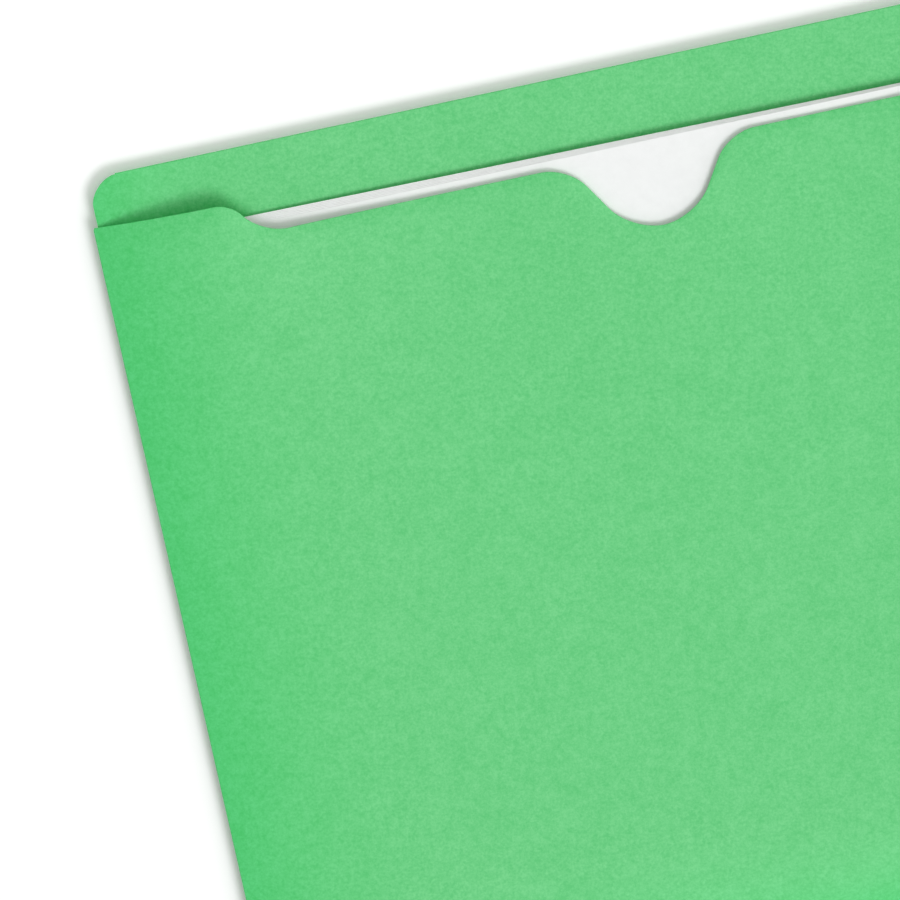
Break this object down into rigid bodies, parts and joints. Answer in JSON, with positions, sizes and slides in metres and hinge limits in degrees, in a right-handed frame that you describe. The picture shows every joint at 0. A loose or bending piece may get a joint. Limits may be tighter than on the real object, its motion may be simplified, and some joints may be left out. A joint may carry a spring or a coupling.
{
  "type": "file jacket",
  "caption": "Flat card file jacket, folded and glued on three sides, with a full-width two-ply tab, a thumb notch in its front, and loose sheets of paper that slide out of its mouth.",
  "frame": {"origin": "under the middle of the jacket, on the surface that its back rests on", "axes": "+X runs across the jacket from its left edge to its right, +Y up it towards the tab, +Z out of its front panel"},
  "size_m": [0.2984, 0.2414, 0.0097],
  "materials": {
    "green_card": "matt 11-point card, dyed through, with a fine fibre mottle",
    "white_paper": "matt uncoated copier paper",
    "dry_glue": "dried paper glue, faintly glossy"
  },
  "bodies": {
    "jacket": {"back_panel": "green_card", "tab_fold": "green_card", "tab_rear_ply": "green_card", "tab_glue_strip": "dry_glue", "front_panel": "green_card", "bottom_fold": "green_card", "left_side_fold": "green_card", "right_side_fold": "green_card", "left_glue_flap": "green_card", "right_glue_flap": "green_card", "left_glue_strip": "dry_glue", "right_glue_strip": "dry_glue"},
    "sheet_1": {"sheet_1": "white_paper"},
    "sheet_2": {"sheet_2": "white_paper"},
    "sheet_3": {"sheet_3": "white_paper"},
    "sheet_4": {"sheet_4": "white_paper"},
    "sheet_5": {"sheet_5": "white_paper"},
    "sheet_6": {"sheet_6": "white_paper"}
  },
  "joints": [
    {"name": "sheet_1_slide", "type": "slide", "parent": "jacket", "child": "sheet_1", "axis": [0, 1, 0], "range_m": [0, 0.24]},
    {"name": "sheet_2_slide", "type": "slide", "parent": "jacket", "child": "sheet_2", "axis": [0, 1, 0], "range_m": [0, 0.24]},
    {"name": "sheet_3_slide", "type": "slide", "parent": "jacket", "child": "sheet_3", "axis": [0, 1, 0], "range_m": [0, 0.24]},
    {"name": "sheet_4_slide", "type": "slide", "parent": "jacket", "child": "sheet_4", "axis": [0, 1, 0], "range_m": [0, 0.24]},
    {"name": "sheet_5_slide", "type": "slide", "parent": "jacket", "child": "sheet_5", "axis": [0, 1, 0], "range_m": [0, 0.24]},
    {"name": "sheet_6_slide", "type": "slide", "parent": "jacket", "child": "sheet_6", "axis": [0, 1, 0], "range_m": [0, 0.24]}
  ]
}
